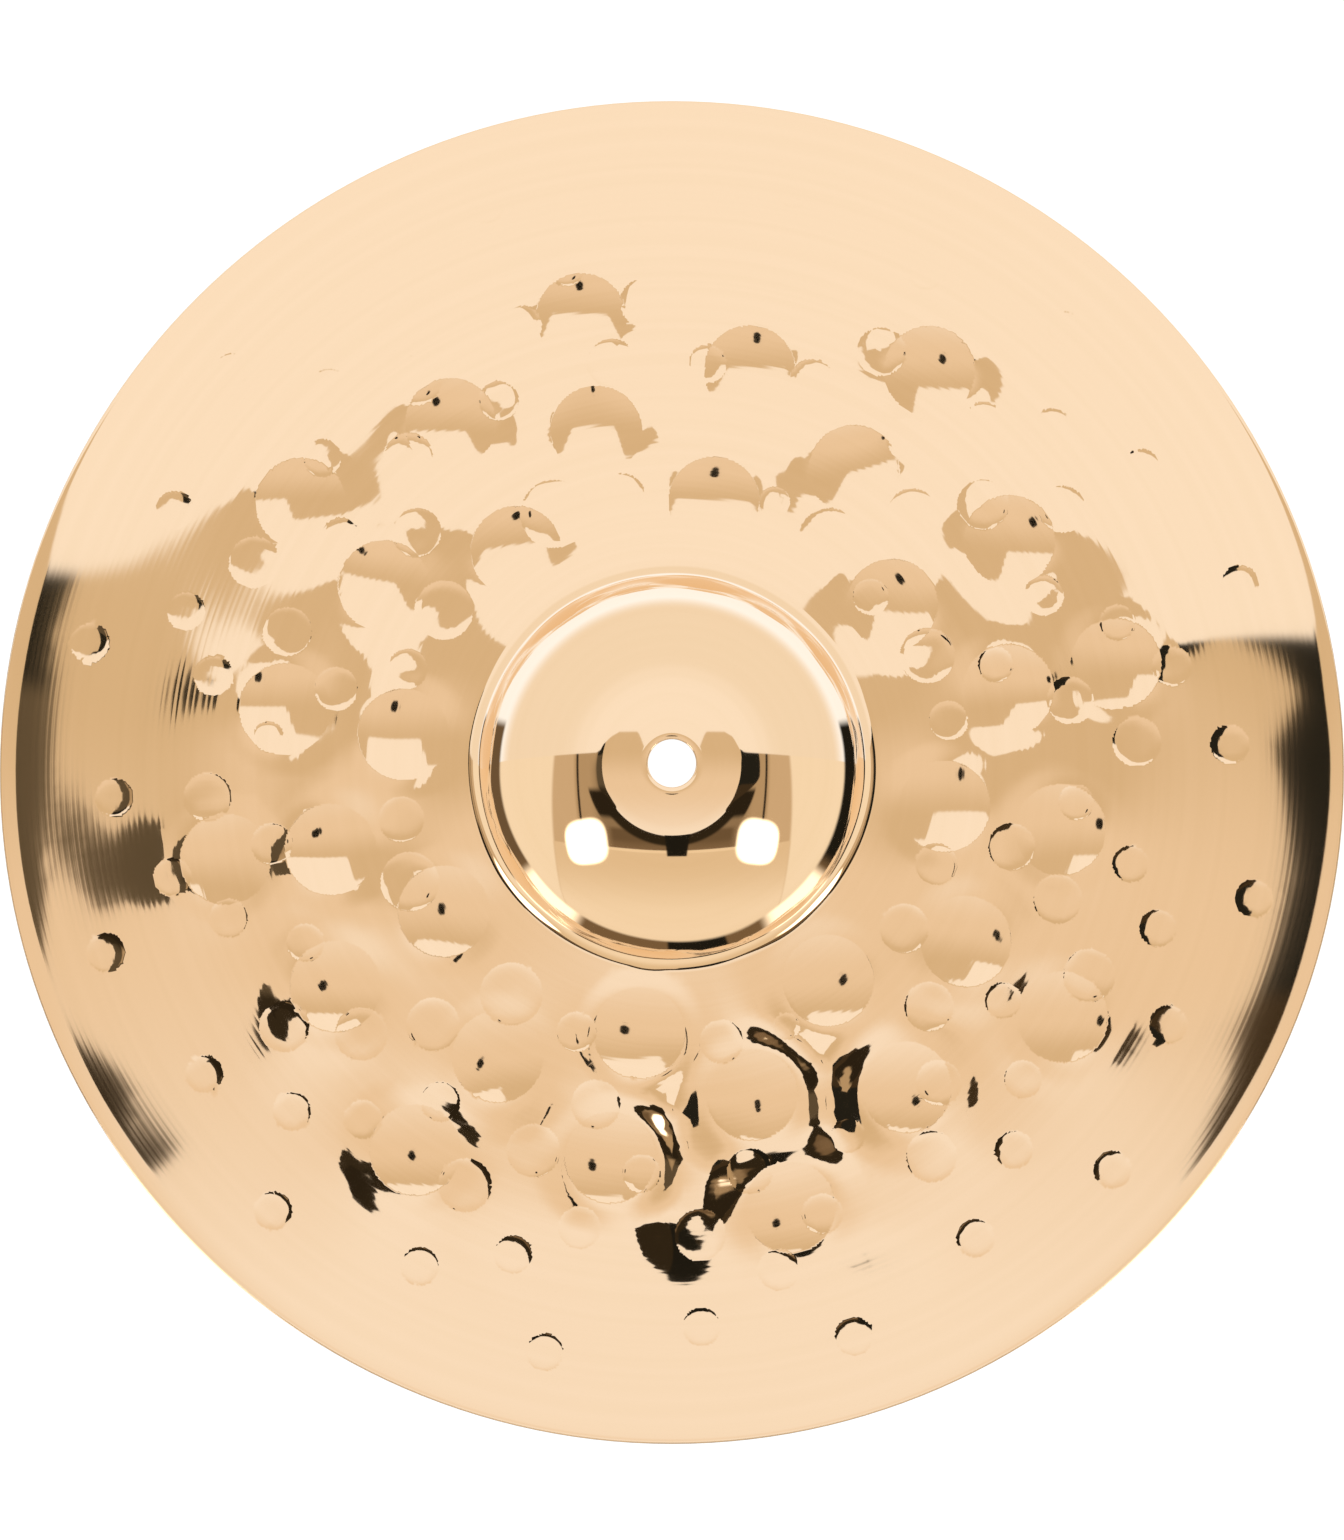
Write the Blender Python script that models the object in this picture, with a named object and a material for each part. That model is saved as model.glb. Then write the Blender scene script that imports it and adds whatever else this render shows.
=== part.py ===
"""Crash cymbal: one bronze disc with a pressed bell, a hammered bow and an open stand hole.

A cymbal is a single sheet of metal. The profile of its top face is spun round the axis, the sheet is
struck with the hammer dents, and it is then given its thickness. Sizes below are in millimetres.
The origin is on the axis, in the plane of the rim's lower edge, and +Z is up through the bell.
"""
import math

import bmesh
import bpy
from mathutils import Matrix, Vector

MM = 0.001

# Driving dimensions
CYMBAL_DIAMETER = 356.0
HOLE_DIAMETER = 12.5
CROWN_DIAMETER = 35.6
BELL_DIAMETER = 108.0
THICKNESS = 1.0

# The bell: a narrow flat seat round the hole, a gently domed crown with a crisp edge, a wall that
# steepens outwards, and a hollow fillet into the bow
SEAT_DIAMETER = 18.0
CROWN_CURVATURE_RADIUS = 105.0
BELL_TOP_ANGLE = 14.0
BELL_WALL_ANGLE = 50.0
BELL_FILLET_WIDTH = 4.0

# The bow: its slope grows evenly from the axis, up to a narrow lip that lies flatter
BOW_CURVATURE_RADIUS = 880.0
LIP_WIDTH = 1.5
LIP_ANGLE = 6.0

# How finely the turned shape is cut into facets
SPIN_STEPS = 96
CROWN_STEPS = 2
BELL_WALL_STEPS = 5
FILLET_STEPS = 2
HAMMERED_STEPS = 12
PLAIN_BOW_STEPS = 2
HAMMERED_RADIUS = 140.0

# Deep hammer dents: place of each middle, x and y
DEEP_DENTS = (
    (-24.0, 119.0), (20.5, 105.0), (68.0, 105.0), (-58.5, 91.0), (-20.0, 89.0), (48.0, 78.5),
    (-98.0, 70.0), (-76.0, 48.0), (-41.0, 57.0), (11.0, 70.0), (58.0, 43.0), (89.0, 60.0),
    (117.0, 27.5), (-102.0, 15.5), (-70.7, 8.7), (-117.5, -24.0), (-89.8, -21.5), (-60.0, -37.8),
    (-88.5, -57.5), (-45.8, -76.0), (-8.6, -69.8), (41.0, -56.0), (21.0, -86.0), (-16.2, -102.5),
    (31.0, -115.5), (61.5, -84.0), (-67.5, -100.5), (88.6, 20.5), (71.7, -10.2), (102.3, -16.3),
    (77.3, -45.7), (102.7, -65.5),
)
DENT_DIAMETER = 24.0
DENT_DEPTH = 1.6

# The metal
BRONZE = (0.86, 0.60, 0.33, 1.0)
BRONZE_ROUGHNESS = 0.12
SMOOTH_ANGLE = 20.0

CYMBAL_RADIUS = CYMBAL_DIAMETER / 2
HOLE_RADIUS = HOLE_DIAMETER / 2
SEAT_RADIUS = SEAT_DIAMETER / 2
CROWN_RADIUS = CROWN_DIAMETER / 2
BELL_RADIUS = BELL_DIAMETER / 2


def clear_scene():
    """Remove what the file opens with."""
    for thing in list(bpy.data.objects):
        bpy.data.objects.remove(thing)


def arc_points(start, first_angle, last_angle, width, steps):
    """Points of a profile arc that turns from one downward slope to another over a given width."""
    first = math.radians(first_angle)
    last = math.radians(last_angle)
    bend = width / (math.sin(last) - math.sin(first))
    points = []
    for step in range(1, steps + 1):
        angle = first + (last - first) * step / steps
        outwards = bend * (math.sin(angle) - math.sin(first))
        drop = bend * (math.cos(first) - math.cos(angle))
        points.append((start[0] + outwards, start[1] - drop))
    return points


def bow_points(start, last_radius, steps):
    """Points down the bow, whose slope is the distance from the axis over its curvature radius."""
    points = []
    for step in range(1, steps + 1):
        radius = start[0] + (last_radius - start[0]) * step / steps
        drop = (radius ** 2 - start[0] ** 2) / (2 * BOW_CURVATURE_RADIUS)
        points.append((radius, start[1] - drop))
    return points


def top_profile():
    """Radius and height of the top face from the hole to the rim, with the seat at height zero."""
    seat_angle = math.degrees(math.asin(SEAT_RADIUS / CROWN_CURVATURE_RADIUS))
    crown_angle = math.degrees(math.asin(CROWN_RADIUS / CROWN_CURVATURE_RADIUS))
    foot_angle = math.degrees(math.atan(BELL_RADIUS / BOW_CURVATURE_RADIUS))
    crown_width = CROWN_RADIUS - SEAT_RADIUS
    wall_width = BELL_RADIUS - BELL_FILLET_WIDTH - CROWN_RADIUS
    profile = [(HOLE_RADIUS, 0.0), (SEAT_RADIUS, 0.0)]
    profile += arc_points(profile[-1], seat_angle, crown_angle, crown_width, CROWN_STEPS)
    profile += arc_points(profile[-1], BELL_TOP_ANGLE, BELL_WALL_ANGLE, wall_width, BELL_WALL_STEPS)
    profile += arc_points(profile[-1], BELL_WALL_ANGLE, foot_angle, BELL_FILLET_WIDTH, FILLET_STEPS)
    profile += bow_points(profile[-1], HAMMERED_RADIUS, HAMMERED_STEPS)
    profile += bow_points(profile[-1], CYMBAL_RADIUS - LIP_WIDTH, PLAIN_BOW_STEPS)
    lip_drop = LIP_WIDTH * math.tan(math.radians(LIP_ANGLE))
    profile.append((CYMBAL_RADIUS, profile[-1][1] - lip_drop))
    return profile


def spin_sheet(mesh, profile):
    """Turn the profile round the axis into one open sheet."""
    points = [mesh.verts.new((radius * MM, 0.0, height * MM)) for radius, height in profile]
    edges = [mesh.edges.new(pair) for pair in zip(points, points[1:])]
    bmesh.ops.spin(
        mesh, geom=points + edges, cent=(0, 0, 0), axis=(0, 0, 1),
        angle=math.tau, steps=SPIN_STEPS, use_merge=True,
    )


def dent_depth(x, y):
    """How far the hammer has driven the sheet down at a place: a smooth round hollow for each dent."""
    depth = 0.0
    for dent_x, dent_y in DEEP_DENTS:
        across = math.hypot(x - dent_x, y - dent_y) / (DENT_DIAMETER / 2)
        if across < 1:
            depth = max(depth, DENT_DEPTH * math.cos(across * math.pi / 2) ** 2)
    return depth


def hammer(mesh):
    """Strike the sheet, leaving the bell and its foot alone."""
    for vertex in mesh.verts:
        if vertex.co.xy.length > (BELL_RADIUS + BELL_FILLET_WIDTH / 2) * MM:
            vertex.co.z -= dent_depth(vertex.co.x / MM, vertex.co.y / MM) * MM


def thicken(mesh):
    """Give the sheet its thickness below its top face."""
    bmesh.ops.recalc_face_normals(mesh, faces=mesh.faces)
    if mesh.faces[0].normal.z < 0:
        bmesh.ops.reverse_faces(mesh, faces=mesh.faces)
    bmesh.ops.solidify(mesh, geom=mesh.faces[:], thickness=THICKNESS * MM)
    bmesh.ops.recalc_face_normals(mesh, faces=mesh.faces)


def stand_on_rim(mesh):
    """Move the disc up or down until its lowest point is at height zero."""
    lowest = min(vertex.co.z for vertex in mesh.verts)
    bmesh.ops.transform(mesh, matrix=Matrix.Translation(Vector((0, 0, -lowest))), verts=mesh.verts)


def bronze_material():
    """Polished bronze."""
    material = bpy.data.materials.new("polished_bronze")
    material.use_nodes = True
    shader = material.node_tree.nodes["Principled BSDF"]
    shader.inputs["Base Color"].default_value = BRONZE
    shader.inputs["Roughness"].default_value = BRONZE_ROUGHNESS
    shader.inputs["Metallic"].default_value = 1.0
    return material


def make_cymbal():
    """The whole cymbal as one closed solid."""
    sheet = bmesh.new()
    spin_sheet(sheet, top_profile())
    hammer(sheet)
    thicken(sheet)
    stand_on_rim(sheet)
    data = bpy.data.meshes.new("cymbal")
    sheet.to_mesh(data)
    sheet.free()
    data.shade_smooth()
    data.set_sharp_from_angle(angle=math.radians(SMOOTH_ANGLE))
    data.materials.append(bronze_material())
    cymbal = bpy.data.objects.new("cymbal", data)
    bpy.context.collection.objects.link(cymbal)
    return cymbal


clear_scene()
make_cymbal()
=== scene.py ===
"""Crash cymbal: a polished and hammered bronze disc, on a pale floor under soft studio light.

The disc is one sheet of metal. It is spun from its profile, cut finer where the hammer has struck it,
and then struck: large deep dents, and small round marks with crisp rings between them. Sizes are in
millimetres unless they say otherwise.
"""
import math

import bmesh
import bpy
import numpy as np
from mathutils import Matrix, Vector


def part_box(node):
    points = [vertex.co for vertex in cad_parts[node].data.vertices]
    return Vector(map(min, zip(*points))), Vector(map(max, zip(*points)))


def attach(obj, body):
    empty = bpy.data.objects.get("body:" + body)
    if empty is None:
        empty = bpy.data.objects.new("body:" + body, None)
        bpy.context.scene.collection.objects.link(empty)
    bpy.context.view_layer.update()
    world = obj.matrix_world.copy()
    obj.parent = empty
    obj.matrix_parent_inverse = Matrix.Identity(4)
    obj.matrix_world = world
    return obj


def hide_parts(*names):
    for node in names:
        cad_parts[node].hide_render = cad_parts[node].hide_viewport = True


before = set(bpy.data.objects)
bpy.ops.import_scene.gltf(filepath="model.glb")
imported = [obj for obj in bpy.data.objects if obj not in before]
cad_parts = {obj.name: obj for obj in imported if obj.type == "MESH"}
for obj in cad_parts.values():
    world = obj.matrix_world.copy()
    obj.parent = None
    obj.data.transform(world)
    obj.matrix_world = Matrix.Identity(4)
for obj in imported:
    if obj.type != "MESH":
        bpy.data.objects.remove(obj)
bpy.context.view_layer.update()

MM = 0.001
disc_low, disc_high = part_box("cymbal")

# The disc
RIM_RADIUS = (disc_high.x - disc_low.x) / 2 / MM
CROWN_TOP = disc_high.z / MM
HOLE_RADIUS = 6.25
SEAT_RADIUS = 9.0
CROWN_RADIUS = 17.8
BELL_RADIUS = 54.0
THICKNESS = 1.0
EDGE_ROUNDING = 0.35

# The profile: angles are slopes, in degrees
CROWN_CURVATURE_RADIUS = 105.0
BELL_TOP_ANGLE = 14.0
BELL_WALL_ANGLE = 50.0
BELL_FILLET_WIDTH = 4.0
BOW_CURVATURE_RADIUS = 880.0
LIP_WIDTH = 1.5
LIP_ANGLE = 6.0

# Deep dents: place of each middle and how its bowl leans, as x, y, slope along x and slope along y
DEEP_DENTS = (
    (-24.0, 119.0, -0.006, 0.007), (20.5, 105.0, -0.008, 0.012), (68.0, 105.0, -0.010, 0.049),
    (-58.5, 91.0, 0.005, 0.031), (-20.0, 89.0, -0.002, 0.007), (48.0, 78.5, -0.027, 0.013),
    (-98.0, 70.0, 0.060, -0.014), (-76.0, 48.0, -0.001, -0.014), (-41.0, 57.0, -0.010, -0.016),
    (11.0, 70.0, 0.003, -0.001), (58.0, 43.0, 0.001, 0.007), (89.0, 60.0, -0.018, 0.023),
    (117.0, 27.5, -0.070, 0.010), (-102.0, 15.5, 0.015, -0.025), (-70.7, 8.7, -0.009, -0.013),
    (-117.5, -24.0, 0.085, 0.020), (-89.8, -21.5, -0.011, -0.015), (-60.0, -37.8, -0.023, 0.022),
    (-88.5, -57.5, -0.013, 0.017), (-45.8, -76.0, 0.021, 0.015), (-8.6, -69.8, 0.023, 0.005),
    (41.0, -56.0, -0.015, 0.020), (21.0, -86.0, -0.005, 0.022), (-16.2, -102.5, 0.033, 0.018),
    (31.0, -115.5, 0.041, 0.036), (61.5, -84.0, 0.006, 0.039), (-67.5, -100.5, -0.017, 0.018),
    (88.6, 20.5, -0.038, 0.022), (71.7, -10.2, -0.007, -0.021), (102.3, -16.3, -0.050, 0.022),
    (77.3, -45.7, -0.037, -0.001), (102.7, -65.5, -0.058, 0.030),
)
DENT_RADIUS = 12.0
DENT_CURVATURE = 0.0103
PULL_RADIUS = 75.0
PULL_POWER = 1.45
SHOULDER_WIDTH = 6.0
COMMON_SINK = 0.12
DEEPER_SINKS = {20: 0.4}
UNTOUCHED_RADIUS = 44.0
FULL_STRIKE_RADIUS = 54.0

# Ridges and falls beside single deep dents: number of the dent, direction in degrees and height
RIDGES = (
    (22, 30.0, 1.7), (23, 0.0, 2.0), (24, 25.0, 0.75), (23, 205.0, 0.9), (26, 170.0, -0.35),
    (18, 160.0, -0.25), (30, 10.0, -0.25), (25, 35.0, -0.5),
)
RIDGE_RISE = 9.5
RIDGE_FALL = 26.0
RIDGE_SPREAD = (0.15, 0.85)
DENT_CLEARANCE = (DENT_RADIUS - 1.0, DENT_RADIUS + 12.0)

# The hammered bow as a whole has sunk a little, and comes back to its turned height at the rim
BOW_SINK = 0.65
BOW_SINK_START = 60.0
BOW_SINK_END = 135.0
FOOT_LIFT = 1.0
RETURN_SLOPE = 0.019
RETURN_RADIUS = 140.0
RETURN_EASING = 8.0

# Small marks: place of each middle and width, x, y and width
SMALL_MARKS = (
    (-79.5, 124.5, 9.5), (-49.0, 149.0, 8.5), (-39.5, 117.3, 10.0), (-67.5, 102.5, 13.5),
    (-90.7, 101.0, 10.0), (-45.7, 97.0, 10.5), (-116.5, 106.0, 9.0), (-28.0, 132.5, 10.0),
    (-7.5, 123.3, 12.5), (-7.0, 148.0, 9.0), (25.0, 121.0, 9.5), (9.3, 106.8, 10.0),
    (-16.0, 107.0, 13.0), (42.3, 129.0, 9.5), (67.3, 131.5, 9.5), (32.5, 153.5, 9.5),
    (37.0, 102.0, 12.0), (55.3, 110.2, 13.0), (104.0, 117.0, 9.0), (-131.5, 68.5, 10.0),
    (-128.3, 41.7, 10.0), (-154.0, 33.5, 10.5), (-110.3, 54.5, 13.5), (-92.3, 82.0, 10.0),
    (-69.5, 82.0, 13.0), (-87.3, 61.0, 10.0), (-67.3, 62.0, 13.0), (-60.0, 41.5, 15.5),
    (-101.3, 36.0, 13.0), (-31.0, 67.0, 18.0), (-13.3, 71.5, 12.5), (27.0, 70.0, 8.0),
    (62.0, 87.0, 11.0), (82.3, 92.5, 9.0), (100.5, 90.4, 10.0), (63.5, 67.0, 13.5),
    (41.7, 60.0, 17.0), (52.3, 45.0, 9.5), (82.0, 69.5, 13.5), (103.0, 68.5, 12.5),
    (98.0, 45.5, 10.5), (124.3, 80.0, 9.5), (150.3, 49.0, 10.0), (117.5, 38.5, 9.5),
    (-120.9, 24.4, 10.3), (-106.3, 8.2, 8.0), (-88.4, 20.8, 11.5), (-69.6, 26.0, 10.5),
    (-147.3, -7.6, 10.0), (-122.3, -7.6, 12.8), (-71.2, -13.6, 12.0), (-105.3, -20.0, 11.0),
    (-131.6, -28.6, 10.0), (-116.7, -39.5, 10.3), (-96.4, -46.0, 10.0), (-149.5, -48.5, 10.2),
    (-68.9, -30.0, 15.5), (131.9, 27.0, 10.5), (104.9, 17.8, 12.5), (85.2, 27.2, 9.3),
    (72.7, 12.4, 10.3), (67.2, 29.5, 14.5), (122.5, 7.0, 13.0), (147.4, 6.5, 10.3),
    (69.5, -25.4, 11.0), (106.4, -9.0, 9.4), (89.3, -20.8, 12.5), (120.8, -25.2, 9.7),
    (101.5, -34.5, 13.0), (153.7, -34.2, 10.0), (128.1, -42.1, 9.9), (109.8, -54.5, 13.9),
    (61.0, -42.3, 13.0), (-101.9, -68.1, 13.2), (-81.7, -70.0, 13.9), (-62.8, -67.5, 14.0),
    (-123.3, -80.5, 9.8), (-100.0, -90.3, 10.1), (-81.3, -92.4, 10.2), (-105.2, -116.5, 10.2),
    (-66.4, -131.1, 10.2), (-60.9, -87.8, 10.5), (-54.4, -109.7, 14.1), (-42.2, -59.5, 16.5),
    (-25.1, -69.4, 10.5), (13.0, -72.0, 11.5), (30.0, -68.0, 7.0), (-20.0, -88.5, 13.0),
    (-36.4, -100.6, 14.0), (-8.0, -106.6, 10.0), (20.5, -106.0, 12.0), (39.5, -117.2, 10.7),
    (7.4, -122.8, 13.5), (-24.3, -120.9, 11.2), (28.1, -132.0, 11.0), (-41.9, -128.0, 10.1),
    (7.8, -147.0, 10.2), (-33.5, -153.7, 10.0), (48.0, -149.6, 10.2), (46.2, -96.7, 9.0),
    (70.1, -82.8, 12.0), (68.2, -102.2, 13.5), (67.5, -62.8, 13.0), (87.0, -61.2, 9.6),
    (131.0, -67.5, 10.0), (92.3, -81.9, 10.0), (90.0, -100.4, 10.0), (116.2, -105.7, 10.0),
    (79.9, -123.7, 10.1),
)
MARK_SLOPE = 0.13
MARK_POWER = 6.0

# How finely the disc is cut
SPIN_STEPS = 216
CROWN_STEPS = 6
WALL_STEPS = 30
FILLET_STEPS = 8
BOW_STEPS = 40
LIP_STEPS = 2
UNDERSIDE_BOW_STEPS = 18
ROUNDING_STEPS = 3
RING_BANDS = (4.2, 0.85, 0.32)
SAME_PLACE = 1e-4
TINY = 1e-6

# Distances either side of a place over which a slope is measured
SLOPE_REACH = 0.05
NORMAL_REACH = 0.02

# Bronze
BRONZE = (0.94, 0.69, 0.44)
DARKER_BRONZE = (0.9118, 0.6624, 0.4092)
BRONZE_ROUGHNESS = 0.045
LEAST_ROUGHNESS = 0.02
ROUGHNESS_RANGE = 0.03
DRIFT_SCALE = 9.0
RING_TONE_SCALE = 0.31
GROOVE_PITCH = 1.6
GROOVE_WANDER = 5.0
GROOVE_SLOPE = 0.0030
GROOVE_DEPTH = (0.2, 1.2)
GROOVE_FADE = (128.0, 152.0)
GROOVE_FADE_SHARE = 0.8
GRAIN_PITCH = 0.45
GRAIN_SLOPE = 0.0008
LATHED_START = (BELL_RADIUS + 1.0, BELL_RADIUS + 4.0)

# Floor and camera
FLOOR_RADIUS = 12.0
FLOOR_SEGMENTS = 64
FLOOR_GAP = 0.0002
FLOOR_GREY = 0.15
CAMERA_DISTANCE = 2.0
CAMERA_TILT = 2.5
FRAME_HEIGHT = 0.408
SENSOR = 36.0

# The studio is laid out by how far a face leans to mirror a place: 0 is overhead and 1 is eye level.
# A pair is where a blend starts and ends, across (+ right), along (+ north) or outwards from overhead.
WHITE = (1.0, 1.0, 1.0)
BLACK = (0.014, 0.014, 0.012)

CEILING_WARM = (0.746, 0.638, 0.491)
CEILING_PALE = (0.90, 0.81, 0.72)
CEILING_COOL = (1.02, 1.04, 1.12)
WARM_TO_PALE = (0.06, -0.03)
PALE_TO_COOL = (-0.03, -0.20)

# The ceiling's edge on each side: where it lies, and its shifts with the blend of each along the room
EDGE_SOFTNESS = (-0.001, 0.001)
LEFT_EDGE = 0.236
LEFT_SHIFTS = ((-0.012, (-0.06, -0.10)), (0.026, (-0.115, -0.15)))
RIGHT_EDGE = 0.224
RIGHT_SHIFTS = ((0.012, (0.02, 0.05)), (0.006, (-0.06, -0.10)), (0.022, (-0.13, -0.16)))
LEFT_TO_RIGHT = (-0.05, 0.05)

# The room beyond the ceiling
INNER_PANEL = (0.50, 0.40, 0.28)
OUTER_PANEL = (0.66, 0.55, 0.42)
INNER_TO_OUTER = (0.39, 0.41)
LOW_PANEL = (0.20, 0.145, 0.09)
LOW_PANEL_FOOT = (0.32, 0.24, 0.16)
LOW_PANEL_BLEND = (-0.27, -0.31)
LOW_PANEL_TOP = (-0.215, -0.24)
LOW_PANEL_SIDES = (0.27, 0.23)
SHADED_PANEL = (0.13, 0.095, 0.06)
SHADE_STRENGTH = 0.55
SHADE_SIDES = (0.33, 0.26)
SHADE_TOP = (0.06, 0.0)
SEAM = (0.03, 0.025, 0.02)
SEAM_INSIDE = (0.375, 0.381)
SEAM_OUTSIDE = (0.392, 0.386)
SEAM_FOOT = (-0.25, -0.22)
SIDE_WALL = (1.0, 0.98, 0.94)
SIDE_WALL_START = (0.511, 0.535)
SIDE_WALL_SLANT = 0.12
SOUTH_WALL_TOP = (0.82, 0.72, 0.58)
SOUTH_WALL_FOOT = (0.98, 0.94, 0.88)
SOUTH_WALL_BLEND = (-0.36, -0.75)
SOUTH_WALL_START = (-0.326, -0.334)
SILL = (0.95, 0.86, 0.72)
SILL_TOP = (-0.318, -0.322)
SILL_FOOT = (-0.336, -0.332)
SILL_SIDES = (0.30, 0.28)
FRAME = (0.07, 0.05, 0.035)
FRAME_END = (0.300, 0.270)
FRAME_SIDE = (0.05, -0.05)
FRAME_FOOT = (-0.20, -0.13)
COVING = (0.03, 0.024, 0.015)
COVING_END = (0.305, 0.290)
COVING_TOP = (-0.06, -0.10)
COVING_SIDES = (0.27, 0.24)
RECESS = (0.025, 0.02, 0.013)
RECESS_END = (0.345, 0.335)
RECESS_TOP = (-0.06, -0.09)
RECESS_FOOT = (-0.20, -0.17)

# The dark gaps beside the ceiling: where each ends, and how much earlier further south
GAP_SOFTNESS = (0.002, -0.002)
LEFT_GAP_END = 0.288
LEFT_GAP_TAPER = 0.050
LEFT_GAP_TAPER_BLEND = (-0.06, -0.15)
LEFT_GAP_SIDE = (-0.12, -0.14)
LEFT_GAP = (0.115, 0.097, 0.07)
LEFT_GAP_NORTH = (0.02, 0.02, 0.016)
LEFT_GAP_NORTH_START = (0.05, 0.06)
LEFT_GAP_SOUTH = (0.035, 0.028, 0.018)
LEFT_GAP_SOUTH_START = (-0.05, -0.08)
RIGHT_GAP_END = 0.35
RIGHT_GAP_TAPER = 0.110
RIGHT_GAP_TAPER_BLEND = (-0.02, -0.16)
RIGHT_GAP_SIDE = (0.12, 0.14)
RIGHT_GAP = (0.018, 0.019, 0.017)
RIGHT_GAP_SOUTH = (0.05, 0.037, 0.022)
RIGHT_GAP_SOUTH_START = (-0.05, -0.06)

# The post, which narrows downwards, and the lamps, square with round corners
POST_ACROSS = 0.02
POST_HALF_WIDTH = 0.04
POST_TAPER = 0.08
POST_TAPER_START = 0.345
POST_SOFTNESS = (0.004, -0.004)
POST_TOP = (-0.240, -0.244)
POST_FOOT = (-0.352, -0.346)
LAMP = (3.5, 3.5, 3.5)
LAMP_SIDE = 0.378
LAMP_ALONG = 0.222
LAMP_SLANT = 0.25
LAMP_ROUNDNESS = 3.0
LAMP_EDGE = (0.0017, 0.0007)

# The lens, and the bright northern wall
LENS_ALONG = 0.0218
LENS_NARROWING = 0.7
LENS_EDGE = (0.010, 0.008)
NORTH_START = 0.048
NORTH_STEP = 0.055
NORTH_STEP_SIDES = (0.06, 0.09)
NORTH_LEFT_DROP = 0.010
NORTH_LEFT = (-0.17, -0.22)
NORTH_RIGHT_DROP = 0.033
NORTH_RIGHT = (0.17, 0.22)
NORTH_LOW_START = 0.066
NORTH_LOW = (0.25, 0.30)
NORTH_SOFTNESS = (-0.003, 0.003)
NORTH_WALL = (1.05, 1.08, 1.17)
NORTH_WARM = (0.98, 0.97, 0.97)
NORTH_WARM_START = (0.30, 0.50)
NORTH_BRIGHT = (1.12, 1.35, 1.8)
NORTH_BRIGHT_START = (0.85, 1.0)

# Below eye level, by the share of a direction that points to the side
LOW_START = (0.96, 1.01)
LOW_SOUTH = (0.32, 0.26)
LOW_LIGHT = (1.9, 1.9, 1.9)
LOW_LIGHT_START = (0.50, 0.60)
LOW_LIGHT_END = (0.86, 0.80)
LOW_LEFT = (0.16, 0.12, 0.08)
LOW_SIDE_START = (0.84, 0.90)
LEG_SIDE = 0.14
LEG_EDGE = (0.18, 0.16)
LEG_TOP = (-0.4, -0.5)
UNDER_DIM = (0.34, 0.30, 0.25)
UNDER_BLEND = (-0.9, 0.9)
UNDER_START = (-0.30, -0.50)


class Shader:
    """Adds nodes to one shader and joins them."""

    def __init__(self, tree):
        self.tree = tree

    def node(self, kind, settings, values, output=0):
        """A node of one kind, with its settings and then the values or links of its sockets."""
        made = self.tree.nodes.new(kind)
        for name, setting in settings.items():
            setattr(made, name, setting)
        for name, value in values.items():
            if isinstance(value, Signal):
                self.tree.links.new(value.socket, made.inputs[name])
            else:
                made.inputs[name].default_value = value
        return Signal(self, made.outputs[output])

    def rise(self, signal, ends):
        """0 to 1, smoothly, as the signal goes from the first end to the second."""
        return self.node(
            "ShaderNodeMapRange", {"interpolation_type": "SMOOTHSTEP"},
            {"Value": signal, "From Min": ends[0], "From Max": ends[1]},
        )

    def noise(self, dimensions, place, scale, detail):
        """Cloudy noise over a place in space or along one number."""
        socket = "W" if dimensions == "1D" else "Vector"
        values = {socket: place, "Scale": scale, "Detail": detail}
        return self.node("ShaderNodeTexNoise", {"noise_dimensions": dimensions}, values)

    def blend(self, first, second, share):
        """From the first colour to the second as share goes from 0 to 1."""
        return self.node(
            "ShaderNodeMix", {"data_type": "RGBA"}, {0: share, 6: colour(first), 7: colour(second)}, 2
        )

    def length(self, x, y):
        """Distance from the middle, from two signals at right angles."""
        vector = self.node("ShaderNodeCombineXYZ", {}, {"X": x, "Y": y})
        return self.node("ShaderNodeVectorMath", {"operation": "LENGTH"}, {0: vector}, 1)


class Signal:
    """One socket of a shader: arithmetic on it adds the Math nodes."""

    def __init__(self, shader, socket):
        self.shader = shader
        self.socket = socket

    def math(self, operation, first, second=0.0):
        """A Math node on two signals or numbers."""
        return self.shader.node("ShaderNodeMath", {"operation": operation}, {0: first, 1: second})

    def __add__(self, other):
        return self.math("ADD", self, other)

    def __radd__(self, other):
        return self.math("ADD", other, self)

    def __sub__(self, other):
        return self.math("SUBTRACT", self, other)

    def __rsub__(self, other):
        return self.math("SUBTRACT", other, self)

    def __mul__(self, other):
        return self.math("MULTIPLY", self, other)

    def __rmul__(self, other):
        return self.math("MULTIPLY", other, self)

    def __truediv__(self, other):
        return self.math("DIVIDE", self, other)

    def __pow__(self, other):
        return self.math("POWER", self, other)

    def __abs__(self):
        return self.math("ABSOLUTE", self)

    def sine(self):
        """Sine of the signal, in radians."""
        return self.math("SINE", self)


def colour(value):
    """A colour as four numbers, or a signal as it is."""
    if isinstance(value, Signal):
        return value
    return (*value, 1.0)


def arc_height(radius, start, end, first_angle, last_angle):
    """Drop below the start of a profile arc that turns from one downward slope to another."""
    first = math.radians(first_angle)
    last = math.radians(last_angle)
    bend = (end - start) / (math.sin(last) - math.sin(first))
    sine = math.sin(first) + (np.clip(radius, start, end) - start) / bend
    return bend * (math.cos(first) - np.sqrt(1 - sine ** 2))


def crown_drop(radius):
    """Drop of the crown's shallow dome below its height at the seat's edge."""
    reach = np.minimum(radius, CROWN_RADIUS)
    return (reach ** 2 - SEAT_RADIUS ** 2) / (2 * CROWN_CURVATURE_RADIUS)


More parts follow.
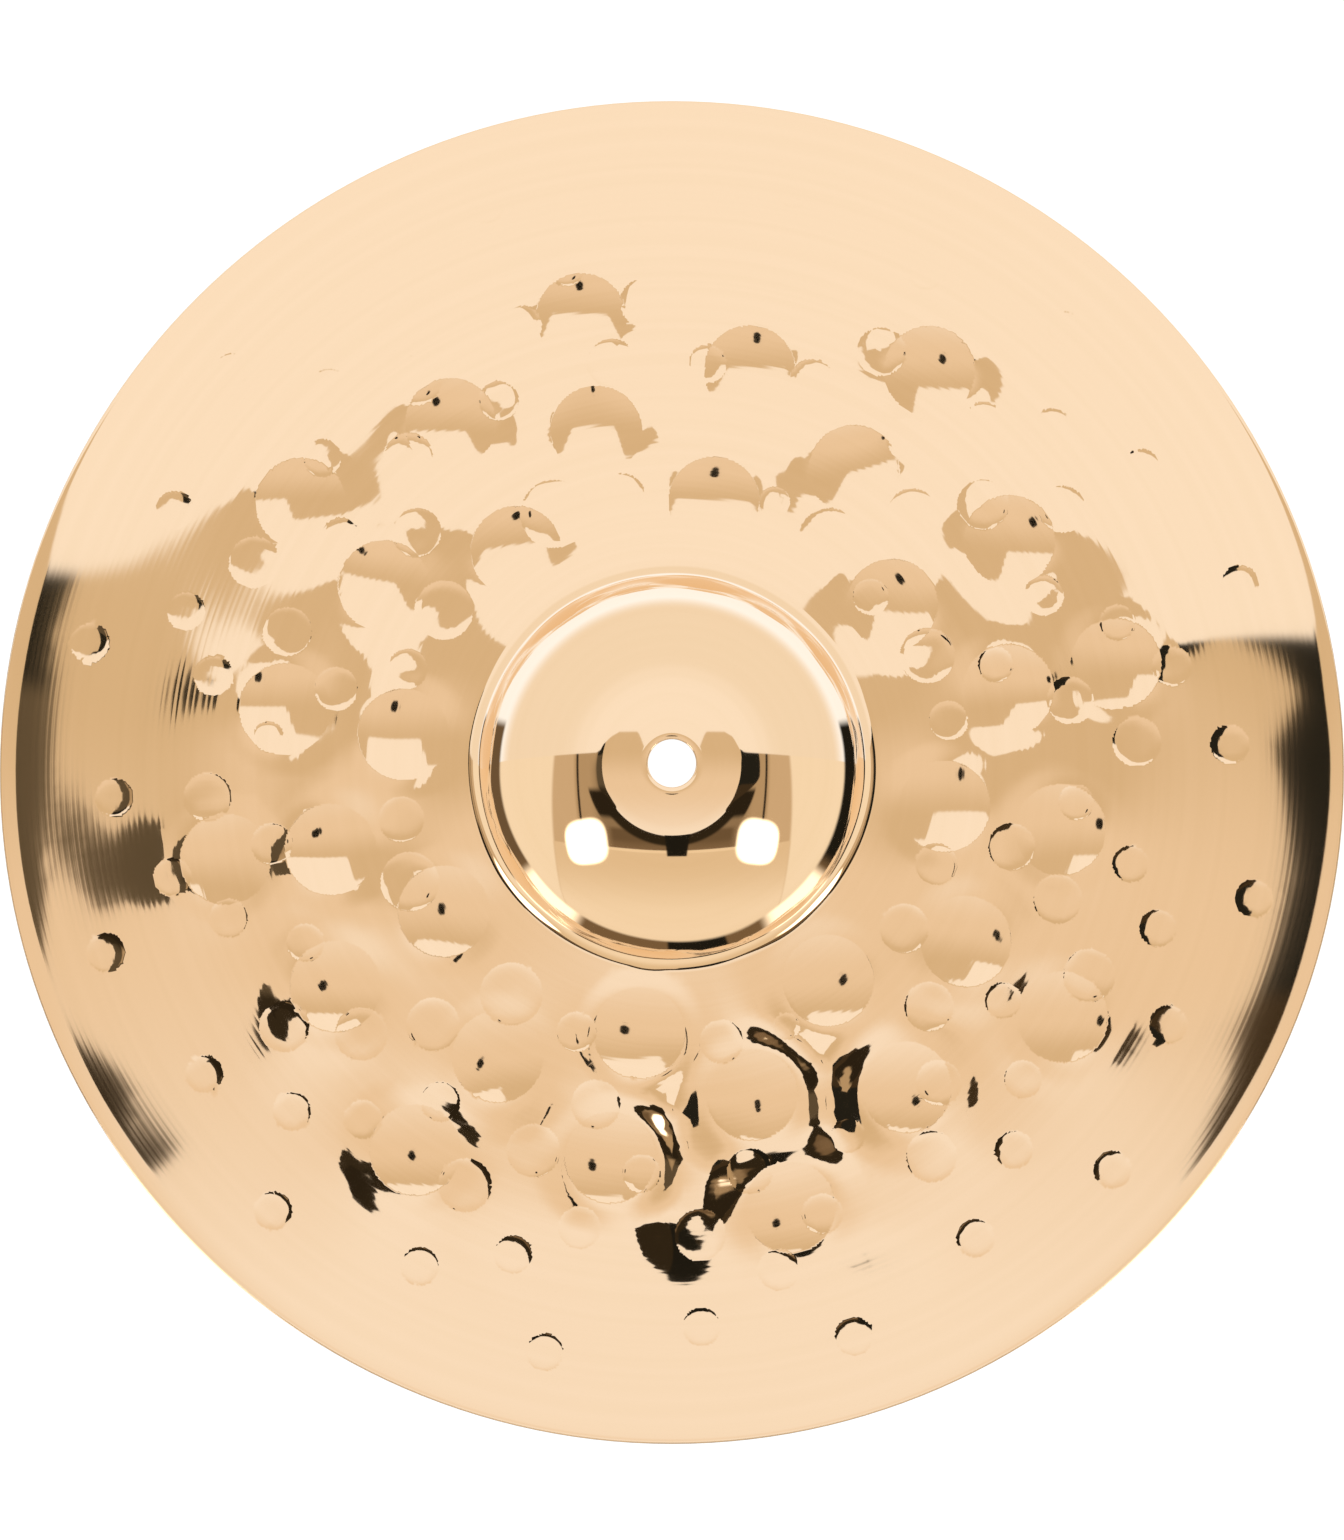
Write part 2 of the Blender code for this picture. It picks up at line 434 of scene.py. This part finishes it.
def bow_drop(radius):
    """Drop of the bow between the bell's foot and a radius."""
    reach = np.clip(radius, BELL_RADIUS, RIM_RADIUS - LIP_WIDTH)
    return (reach ** 2 - BELL_RADIUS ** 2) / (2 * BOW_CURVATURE_RADIUS)


def turned_height(radius):
    """Height of the top face as turned, before the hammer, at each radius."""
    foot_angle = math.degrees(math.atan(BELL_RADIUS / BOW_CURVATURE_RADIUS))
    wall_foot = BELL_RADIUS - BELL_FILLET_WIDTH
    lip = np.clip(radius - (RIM_RADIUS - LIP_WIDTH), 0, LIP_WIDTH) * math.tan(math.radians(LIP_ANGLE))
    drop = crown_drop(radius)
    drop = drop + arc_height(radius, CROWN_RADIUS, wall_foot, BELL_TOP_ANGLE, BELL_WALL_ANGLE)
    drop = drop + arc_height(radius, wall_foot, BELL_RADIUS, BELL_WALL_ANGLE, foot_angle)
    return CROWN_TOP - drop - bow_drop(radius) - lip


def pull_share(distance):
    """How much of a bowl's lean the sheet still follows, at a distance from the bowl's middle."""
    outside = np.maximum(distance, DENT_RADIUS)
    fade = np.clip((1 - (outside / PULL_RADIUS) ** 2) / (1 - (DENT_RADIUS / PULL_RADIUS) ** 2), 0, 1)
    return (DENT_RADIUS / outside) ** PULL_POWER * fade ** 2


def shoulder(distance):
    """1 inside a bowl, falling smoothly to 0 at the outside of its shoulder."""
    out = np.clip((distance - DENT_RADIUS) / SHOULDER_WIDTH, 0, 1)
    return (1 + np.cos(math.pi * out)) / 2


def deep_dent(x, y, pull, sink):
    """Height of one bowl and its shoulder, from its middle: the sheet round it is drawn along with it."""
    distance = np.hypot(x, y)
    bowl = DENT_CURVATURE / 2 * np.clip(DENT_RADIUS ** 2 - distance ** 2, 0, None)
    return (pull[0] * x + pull[1] * y) * pull_share(distance) - sink * shoulder(distance) - bowl


def deep_sinks():
    """How far each deep dent's edge lies below the sheet round it."""
    return [DEEPER_SINKS.get(number, COMMON_SINK) for number in range(len(DEEP_DENTS))]


def dent_pulls():
    """The pull of each deep dent that gives every bowl its own lean, with its neighbours' pulls counted."""
    middles = np.array([dent[:2] for dent in DEEP_DENTS])
    leans = np.array([dent[2:] for dent in DEEP_DENTS])
    sinks = deep_sinks()
    wanted = leans + middles / BOW_CURVATURE_RADIUS
    count = len(middles)
    shares = np.eye(2 * count)
    for here in range(count):
        for axis in range(2):
            step = SLOPE_REACH * np.eye(2)[axis]
            row = 2 * here + axis
            for other in range(count):
                if other == here:
                    continue
                after = middles[here] + step - middles[other]
                before = middles[here] - step - middles[other]
                far, near = np.hypot(*after), np.hypot(*before)
                change = (after * pull_share(far) - before * pull_share(near)) / (2 * SLOPE_REACH)
                shares[row, 2 * other:2 * other + 2] = change
                sinking = sinks[other] * (shoulder(far) - shoulder(near))
                wanted[here, axis] += sinking / (2 * SLOPE_REACH)
    return np.linalg.solve(shares, wanted.ravel()).reshape(count, 2)


def small_mark(x, y, mark_x, mark_y, width):
    """A shallow round mark, nearly flat in its middle and crisp at its ring."""
    across = np.minimum(np.hypot(x - mark_x, y - mark_y) / (width / 2), 1)
    return -MARK_SLOPE * width / 2 / MARK_POWER * (1 - across ** MARK_POWER)


DENT_PULLS = dent_pulls()


def smooth_rise(value, start, end):
    """0 to 1, smoothly, as a value goes from start to end."""
    share = np.clip((value - start) / (end - start), 0, 1)
    return share ** 2 * (3 - 2 * share)


def ridge(x, y, number, direction, height):
    """A ridge on one side of a deep dent, kept clear of the other dents."""
    dent_x, dent_y = DEEP_DENTS[number][:2]
    distance = np.maximum(np.hypot(x - dent_x, y - dent_y), TINY)
    angle = math.radians(direction)
    facing = ((x - dent_x) * math.cos(angle) + (y - dent_y) * math.sin(angle)) / distance
    crest = DENT_RADIUS + RIDGE_RISE
    share = smooth_rise(facing, *RIDGE_SPREAD) * smooth_rise(distance, DENT_RADIUS, crest)
    share = share * smooth_rise(distance, crest + RIDGE_FALL, crest)
    for other, (other_x, other_y, *_) in enumerate(DEEP_DENTS):
        if other != number:
            gap = np.hypot(x - other_x, y - other_y)
            share = share * smooth_rise(gap, *DENT_CLEARANCE)
    return height * share


def bow_shift(radius):
    """The sinking of the whole hammered bow, and its return towards the rim."""
    past = radius - RETURN_RADIUS
    eased = (past + RETURN_EASING) ** 2 / (4 * RETURN_EASING)
    back = np.where(past > RETURN_EASING, past, np.where(past < -RETURN_EASING, 0.0, eased))
    lift = FOOT_LIFT * (RIM_RADIUS - radius) / (RIM_RADIUS - BELL_RADIUS)
    return RETURN_SLOPE * back + lift - BOW_SINK * smooth_rise(radius, BOW_SINK_START, BOW_SINK_END)


def hammered_height(x, y):
    """How far the hammer has moved the sheet at each place."""
    height = bow_shift(np.hypot(x, y))
    for number, direction, rise in RIDGES:
        height += ridge(x, y, number, direction, rise)
    for dent, pull, sink in zip(DEEP_DENTS, DENT_PULLS, deep_sinks()):
        from_x, from_y = x - dent[0], y - dent[1]
        near = np.hypot(from_x, from_y) < PULL_RADIUS
        height[near] += deep_dent(from_x[near], from_y[near], pull, sink)
    for mark_x, mark_y, width in SMALL_MARKS:
        near = np.hypot(x - mark_x, y - mark_y) < width / 2
        height[near] += small_mark(x[near], y[near], mark_x, mark_y, width)
    return height


def top_height(x, y):
    """Height of the finished top face."""
    radius = np.hypot(x, y)
    struck = smooth_rise(radius, UNTOUCHED_RADIUS, FULL_STRIKE_RADIUS)
    return turned_height(radius) + hammered_height(x, y) * struck


def spaced(start, end, steps):
    """Radii after start, evenly spaced up to end."""
    return list(np.linspace(start, end, steps + 1)[1:])


def edge_circle(middle, first_angle, last_angle):
    """Radius and height of points round a rounded edge."""
    angles = np.radians(np.linspace(first_angle, last_angle, ROUNDING_STEPS + 1))
    around = EDGE_ROUNDING * np.stack([np.cos(angles), np.sin(angles)], 1)
    return [(middle[0] + float(out), middle[1] + float(up)) for out, up in around]


def skin_radii(crown_steps, wall_steps, fillet_steps, bow_steps):
    """Radii of the rings of one face, from the hole to the rim."""
    radii = [HOLE_RADIUS + EDGE_ROUNDING]
    radii += spaced(radii[-1], CROWN_RADIUS, crown_steps)
    radii += spaced(CROWN_RADIUS, BELL_RADIUS - BELL_FILLET_WIDTH, wall_steps)
    radii += spaced(radii[-1], BELL_RADIUS, fillet_steps)
    radii += spaced(BELL_RADIUS, RIM_RADIUS - LIP_WIDTH, bow_steps)
    radii += spaced(radii[-1], RIM_RADIUS - EDGE_ROUNDING, LIP_STEPS)
    return radii


def spin_disc():
    """The turned disc as one closed shell."""
    disc = bmesh.new()
    top = skin_radii(CROWN_STEPS, WALL_STEPS, FILLET_STEPS, BOW_STEPS)
    under = skin_radii(CROWN_STEPS // 2, WALL_STEPS // 2, FILLET_STEPS // 2, UNDERSIDE_BOW_STEPS)
    outline = [(r, float(turned_height(np.array(r)))) for r in top]
    rim_middle = (RIM_RADIUS - EDGE_ROUNDING, outline[-1][1] - EDGE_ROUNDING)
    low_middle = (rim_middle[0], outline[-1][1] - THICKNESS + EDGE_ROUNDING)
    outline += edge_circle(rim_middle, 90, 0)[1:]
    outline += edge_circle(low_middle, 0, -90)[:-1]
    outline += [(r, float(turned_height(np.array(r))) - THICKNESS) for r in reversed(under)]
    hole_middle = (HOLE_RADIUS + EDGE_ROUNDING, outline[-1][1] + EDGE_ROUNDING)
    crown_middle = (hole_middle[0], outline[0][1] - EDGE_ROUNDING)
    outline += edge_circle(hole_middle, 270, 180)[1:]
    outline += edge_circle(crown_middle, 180, 90)[:-1]
    points = [disc.verts.new((radius, 0.0, height)) for radius, height in outline]
    edges = [disc.edges.new(pair) for pair in zip(points, points[1:] + points[:1])]
    bmesh.ops.spin(
        disc, geom=points + edges, cent=(0, 0, 0), axis=(0, 0, 1),
        angle=math.tau, steps=SPIN_STEPS, use_merge=True,
    )
    bmesh.ops.remove_doubles(disc, verts=disc.verts, dist=SAME_PLACE)
    bmesh.ops.recalc_face_normals(disc, faces=disc.faces)
    return disc


def near_rings(x, y, band):
    """Which places are close to the ring of a small mark or of a deep dent."""
    chosen = np.zeros(x.shape, bool)
    for mark_x, mark_y, width in SMALL_MARKS:
        chosen |= np.abs(np.hypot(x - mark_x, y - mark_y) - width / 2) < band
    for dent_x, dent_y, *_ in DEEP_DENTS:
        chosen |= np.abs(np.hypot(x - dent_x, y - dent_y) - DENT_RADIUS) < band
    return chosen


def cut_finer(disc, band):
    """Halve the top face's cells near the rings."""
    faces = [f for f in disc.faces if f.normal.z > 0.5]
    centres = np.array([f.calc_center_median()[:2] for f in faces])
    chosen = near_rings(centres[:, 0], centres[:, 1], band)
    chosen &= np.hypot(centres[:, 0], centres[:, 1]) > BELL_RADIUS
    edges = {edge for face, near in zip(faces, chosen) if near for edge in face.edges}
    bmesh.ops.subdivide_edges(disc, edges=list(edges), cuts=1, use_grid_fill=True)


def strike(disc):
    """Move the sheet's points as the hammer has, on both faces."""
    places = np.array([v.co for v in disc.verts])
    radius = np.hypot(places[:, 0], places[:, 1])
    turned = turned_height(radius)
    final = top_height(places[:, 0], places[:, 1])
    moved = places[:, 2] + final - turned
    skin = (radius > HOLE_RADIUS + EDGE_ROUNDING) & (radius < RIM_RADIUS - EDGE_ROUNDING * 1.01)
    above = places[:, 2] > turned - THICKNESS / 2
    moved = np.where(skin & above, final, moved)
    moved = np.where(skin & ~above, final - THICKNESS, moved)
    for vertex, height in zip(disc.verts, moved):
        vertex.co.z = height
    return skin, above


def sheet_normals(disc, skin, above):
    """Normals of the points: from the sheet's own slope on its faces, and from the mesh at its edges."""
    places = np.array([v.co for v in disc.verts])
    x, y = places[:, 0], places[:, 1]
    reach = NORMAL_REACH
    slope_x = (top_height(x + reach, y) - top_height(x - reach, y)) / (2 * reach)
    slope_y = (top_height(x, y + reach) - top_height(x, y - reach)) / (2 * reach)
    exact = np.stack([-slope_x, -slope_y, np.ones_like(x)], 1)
    exact /= np.linalg.norm(exact, axis=1)[:, None]
    exact[~above] *= -1
    rough = np.array([v.normal for v in disc.verts])
    return np.where(skin[:, None], exact, rough)


def make_cymbal():
    """The cymbal: spun, cut finer, struck, and triangulated."""
    disc = spin_disc()
    for band in RING_BANDS:
        cut_finer(disc, band)
    skin, above = strike(disc)
    bmesh.ops.triangulate(disc, faces=disc.faces)
    disc.normal_update()
    normals = sheet_normals(disc, skin, above)
    bmesh.ops.scale(disc, vec=(MM, MM, MM), verts=disc.verts)
    data = bpy.data.meshes.new("cymbal_sheet")
    disc.to_mesh(data)
    disc.free()
    data.shade_smooth()
    data.normals_split_custom_set_from_vertices([tuple(n) for n in normals])
    cymbal = bpy.data.objects.new("cymbal_sheet", data)
    bpy.context.collection.objects.link(cymbal)
    data.materials.append(bronze())
    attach(cymbal, "root")
    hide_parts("cymbal")
    return cymbal


def principled(name, roughness, metallic):
    """A new material with its shader, as the tree's builder and the shader node."""
    material = bpy.data.materials.new(name)
    material.use_nodes = True
    node = material.node_tree.nodes["Principled BSDF"]
    node.inputs["Roughness"].default_value = roughness
    node.inputs["Metallic"].default_value = metallic
    return material, Shader(material.node_tree), node


def bronze():
    """Polished bronze with lathe grooves, a fine grain, and a slight change of tone from ring to ring."""
    material, shader, node = principled("hammered_bronze", BRONZE_ROUGHNESS, 1.0)
    place = shader.node("ShaderNodeTexCoord", {}, {}, "Object")
    x, y = (shader.node("ShaderNodeSeparateXYZ", {}, {0: place}, axis) for axis in range(2))
    radius = shader.length(x, y) / MM
    drift = shader.noise("3D", place, DRIFT_SCALE, 2.0)
    ring_noise = shader.noise("1D", radius, RING_TONE_SCALE, 2.0)
    grain_noise = shader.noise("1D", radius, 1 / GRAIN_PITCH, 1.0)
    groove = (radius * (math.tau / GROOVE_PITCH) + ring_noise * GROOVE_WANDER).sine()
    groove_height = GROOVE_SLOPE * GROOVE_PITCH / math.tau * MM
    grain_height = GRAIN_SLOPE * GRAIN_PITCH / 2 * MM
    faded = 1.0 - GROOVE_FADE_SHARE * shader.rise(radius, GROOVE_FADE)
    depth = (drift * GROOVE_DEPTH[1] + GROOVE_DEPTH[0]) * faded
    height = (groove * groove_height * depth + grain_noise * grain_height) * shader.rise(radius, LATHED_START)
    bump = shader.node("ShaderNodeBump", {}, {"Strength": 1.0, "Distance": 1.0, "Height": height})
    shader.tree.links.new(bump.socket, node.inputs["Normal"])
    tone = shader.blend(DARKER_BRONZE, BRONZE, ring_noise)
    shader.tree.links.new(tone.socket, node.inputs["Base Color"])
    rough = LEAST_ROUGHNESS + drift * ROUGHNESS_RANGE
    shader.tree.links.new(rough.socket, node.inputs["Roughness"])
    return material


def make_floor():
    """A plain pale floor that shows from above only."""
    floor_mesh = bmesh.new()
    bmesh.ops.create_circle(floor_mesh, cap_ends=True, segments=FLOOR_SEGMENTS, radius=FLOOR_RADIUS)
    data = bpy.data.meshes.new("floor")
    floor_mesh.to_mesh(data)
    floor_mesh.free()
    floor = bpy.data.objects.new("floor", data)
    floor.location.z = -FLOOR_GAP
    bpy.context.collection.objects.link(floor)
    material, shader, node = principled("pale_floor", 0.9, 0.0)
    node.inputs["Base Color"].default_value = (FLOOR_GREY, FLOOR_GREY, FLOOR_GREY, 1.0)
    node.inputs["Emission Color"].default_value = colour(WHITE)
    node.inputs["Emission Strength"].default_value = 1.0
    node.inputs["Specular IOR Level"].default_value = 0.0
    below = shader.node("ShaderNodeNewGeometry", {}, {}, "Backfacing")
    clear = shader.node("ShaderNodeBsdfTransparent", {}, {})
    shown = shader.node("ShaderNodeMixShader", {}, {0: below})
    mixer = shown.socket.node
    shader.tree.links.new(node.outputs[0], mixer.inputs[1])
    shader.tree.links.new(clear.socket, mixer.inputs[2])
    output = shader.tree.nodes["Material Output"]
    shader.tree.links.new(shown.socket, output.inputs["Surface"])
    data.materials.append(material)
    floor.visible_glossy = False
    return floor


def ceiling(shader, along):
    """The pale ceiling: warm and dim to the north, bright and cool to the south."""
    light = shader.blend(CEILING_WARM, CEILING_PALE, shader.rise(along, WARM_TO_PALE))
    return shader.blend(light, CEILING_COOL, shader.rise(along, PALE_TO_COOL))


def ceiling_edge(shader, across, along):
    """Where the ceiling ends, for each side of the room."""
    left = LEFT_EDGE
    for shift, ends in LEFT_SHIFTS:
        left = left + shift * shader.rise(along, ends)
    right = RIGHT_EDGE
    for shift, ends in RIGHT_SHIFTS:
        right = right + shift * shader.rise(along, ends)
    return left + (right - left) * shader.rise(across, LEFT_TO_RIGHT)


def panels(shader, side, along):
    """The brown side panels, darker low down and near the ceiling, with a thin seam."""
    light = shader.blend(INNER_PANEL, OUTER_PANEL, shader.rise(side, INNER_TO_OUTER))
    low = shader.blend(LOW_PANEL, LOW_PANEL_FOOT, shader.rise(along, LOW_PANEL_BLEND))
    low_share = shader.rise(along, LOW_PANEL_TOP) * shader.rise(side, LOW_PANEL_SIDES)
    light = shader.blend(light, low, low_share)
    shade = shader.rise(side, SHADE_SIDES) * shader.rise(along, SHADE_TOP)
    light = shader.blend(light, SHADED_PANEL, shade * SHADE_STRENGTH)
    seam = shader.rise(side, SEAM_INSIDE) * shader.rise(side, SEAM_OUTSIDE)
    return shader.blend(light, SEAM, seam * shader.rise(along, SEAM_FOOT))


def room(shader, across, along, middle):
    """The room round the ceiling: panels, bright side walls, a bright south wall and dark mouldings."""
    side = abs(across)
    wall = shader.rise(side + SIDE_WALL_SLANT * along, SIDE_WALL_START)
    light = shader.blend(panels(shader, side, along), SIDE_WALL, wall)
    south = shader.blend(SOUTH_WALL_TOP, SOUTH_WALL_FOOT, shader.rise(along, SOUTH_WALL_BLEND))
    light = shader.blend(light, south, shader.rise(along, SOUTH_WALL_START) * (1.0 - wall))
    sill = shader.rise(along, SILL_TOP) * shader.rise(along, SILL_FOOT)
    light = shader.blend(light, SILL, sill * shader.rise(side, SILL_SIDES))
    moulding = shader.rise(middle, FRAME_END) * shader.rise(across, FRAME_SIDE)
    light = shader.blend(light, FRAME, moulding * shader.rise(along, FRAME_FOOT))
    coving = shader.rise(middle, COVING_END) * shader.rise(along, COVING_TOP)
    light = shader.blend(light, COVING, coving * shader.rise(side, COVING_SIDES))
    recess = shader.rise(middle, RECESS_END) * shader.rise(along, RECESS_TOP)
    return shader.blend(light, RECESS, recess * shader.rise(along, RECESS_FOOT))


def gaps(shader, light, across, along, middle, beyond):
    """The dark gaps beside the ceiling."""
    left_end = LEFT_GAP_END - LEFT_GAP_TAPER * shader.rise(along, LEFT_GAP_TAPER_BLEND)
    left = beyond * shader.rise(middle - left_end, GAP_SOFTNESS) * shader.rise(across, LEFT_GAP_SIDE)
    tone = shader.blend(LEFT_GAP, LEFT_GAP_NORTH, shader.rise(along, LEFT_GAP_NORTH_START))
    tone = shader.blend(tone, LEFT_GAP_SOUTH, shader.rise(along, LEFT_GAP_SOUTH_START))
    light = shader.blend(light, tone, left)
    right_end = RIGHT_GAP_END - RIGHT_GAP_TAPER * shader.rise(along, RIGHT_GAP_TAPER_BLEND)
    right = beyond * shader.rise(middle - right_end, GAP_SOFTNESS) * shader.rise(across, RIGHT_GAP_SIDE)
    tone = shader.blend(RIGHT_GAP, RIGHT_GAP_SOUTH, shader.rise(along, RIGHT_GAP_SOUTH_START))
    return shader.blend(light, tone, right)


def post_and_lamps(shader, light, across, along):
    """The dark post in the south, and a bright lamp on each side of it."""
    half_width = POST_HALF_WIDTH + POST_TAPER * (along + POST_TAPER_START)
    post = shader.rise(abs(across - POST_ACROSS) - half_width, POST_SOFTNESS)
    post = post * shader.rise(along, POST_TOP) * shader.rise(along, POST_FOOT)
    light = shader.blend(light, BLACK, post)
    side = abs(across)
    from_side = abs(side - LAMP_SIDE) ** LAMP_ROUNDNESS
    from_along = abs(along + LAMP_SLANT * side + LAMP_ALONG) ** LAMP_ROUNDNESS
    return shader.blend(light, LAMP, shader.rise(from_side + from_along, LAMP_EDGE))


def north_wall(shader, light, across, along, middle):
    """The bright wall to the north, which starts lower over the middle than at the sides."""
    start = NORTH_START + NORTH_STEP * shader.rise(abs(across), NORTH_STEP_SIDES)
    start = start - NORTH_LEFT_DROP * shader.rise(across, NORTH_LEFT)
    start = start - NORTH_RIGHT_DROP * shader.rise(across, NORTH_RIGHT)
    start = start + (NORTH_LOW_START - start) * shader.rise(middle, NORTH_LOW)
    wall = shader.blend(NORTH_WALL, NORTH_WARM, shader.rise(middle, NORTH_WARM_START))
    wall = shader.blend(wall, NORTH_BRIGHT, shader.rise(middle, NORTH_BRIGHT_START))
    return shader.blend(light, wall, shader.rise(along - start, NORTH_SOFTNESS))


def low_light(shader, across, along, middle):
    """What stands round the disc below eye level: dark to the west and east, bright between."""
    sideways = across / middle
    side = abs(sideways)
    bright = shader.rise(side, LOW_LIGHT_START) * shader.rise(side, LOW_LIGHT_END)
    light = shader.blend(LOW_PANEL, LOW_LIGHT, bright)
    light = shader.blend(light, LOW_LEFT, shader.rise(-1.0 * sideways, LOW_SIDE_START))
    light = shader.blend(light, BLACK, shader.rise(sideways, LOW_SIDE_START))
    leg = shader.rise(abs(sideways - LEG_SIDE), LEG_EDGE) * shader.rise(along, LEG_TOP)
    return shader.blend(light, BLACK, leg)


def studio_light():
    """Soft studio light all round, laid out by how far a face leans to mirror each place."""
    world = bpy.data.worlds.new("studio")
    world.use_nodes = True
    bpy.context.scene.world = world
    shader = Shader(world.node_tree)
    direction = shader.node("ShaderNodeTexCoord", {}, {}, "Generated")
    x, y, z = (shader.node("ShaderNodeSeparateXYZ", {}, {0: direction}, axis) for axis in range(3))
    upwards = z + 1.001
    across = x / upwards
    along = y / upwards
    middle = shader.length(across, along)
    beyond = shader.rise(middle - ceiling_edge(shader, across, along), EDGE_SOFTNESS)
    light = shader.blend(ceiling(shader, along), room(shader, across, along, middle), beyond)
    light = gaps(shader, light, across, along, middle, beyond)
    light = post_and_lamps(shader, light, across, along)
    lens = shader.rise(shader.length(across, (along + LENS_ALONG) * LENS_NARROWING), LENS_EDGE)
    light = shader.blend(light, BLACK, lens)
    light = north_wall(shader, light, across, along, middle)
    low = shader.rise(middle, LOW_START) * shader.rise(along / middle, LOW_SOUTH)
    light = shader.blend(light, low_light(shader, across, along, middle), low)
    under = shader.blend(UNDER_DIM, WHITE, shader.rise(x + y, UNDER_BLEND))
    light = shader.blend(light, under, shader.rise(z, UNDER_START))
    seen = shader.node("ShaderNodeLightPath", {}, {}, "Is Camera Ray")
    light = shader.blend(light, WHITE, seen)
    background = world.node_tree.nodes["Background"]
    shader.tree.links.new(light.socket, background.inputs["Color"])


def make_camera():
    """The camera, nearly straight above the disc."""
    data = bpy.data.cameras.new("camera")
    data.sensor_width = SENSOR
    data.lens = SENSOR * CAMERA_DISTANCE / FRAME_HEIGHT
    camera = bpy.data.objects.new("camera", data)
    tilt = math.radians(CAMERA_TILT)
    back = Vector((0.0, -math.sin(tilt), math.cos(tilt)))
    camera.location = back * CAMERA_DISTANCE
    camera.rotation_mode = "QUATERNION"
    camera.rotation_quaternion = (-back).to_track_quat("-Z", "Y")
    bpy.context.collection.objects.link(camera)
    bpy.context.scene.camera = camera


make_cymbal()
make_floor()
studio_light()
make_camera()
bpy.context.scene.view_settings.view_transform = "Standard"
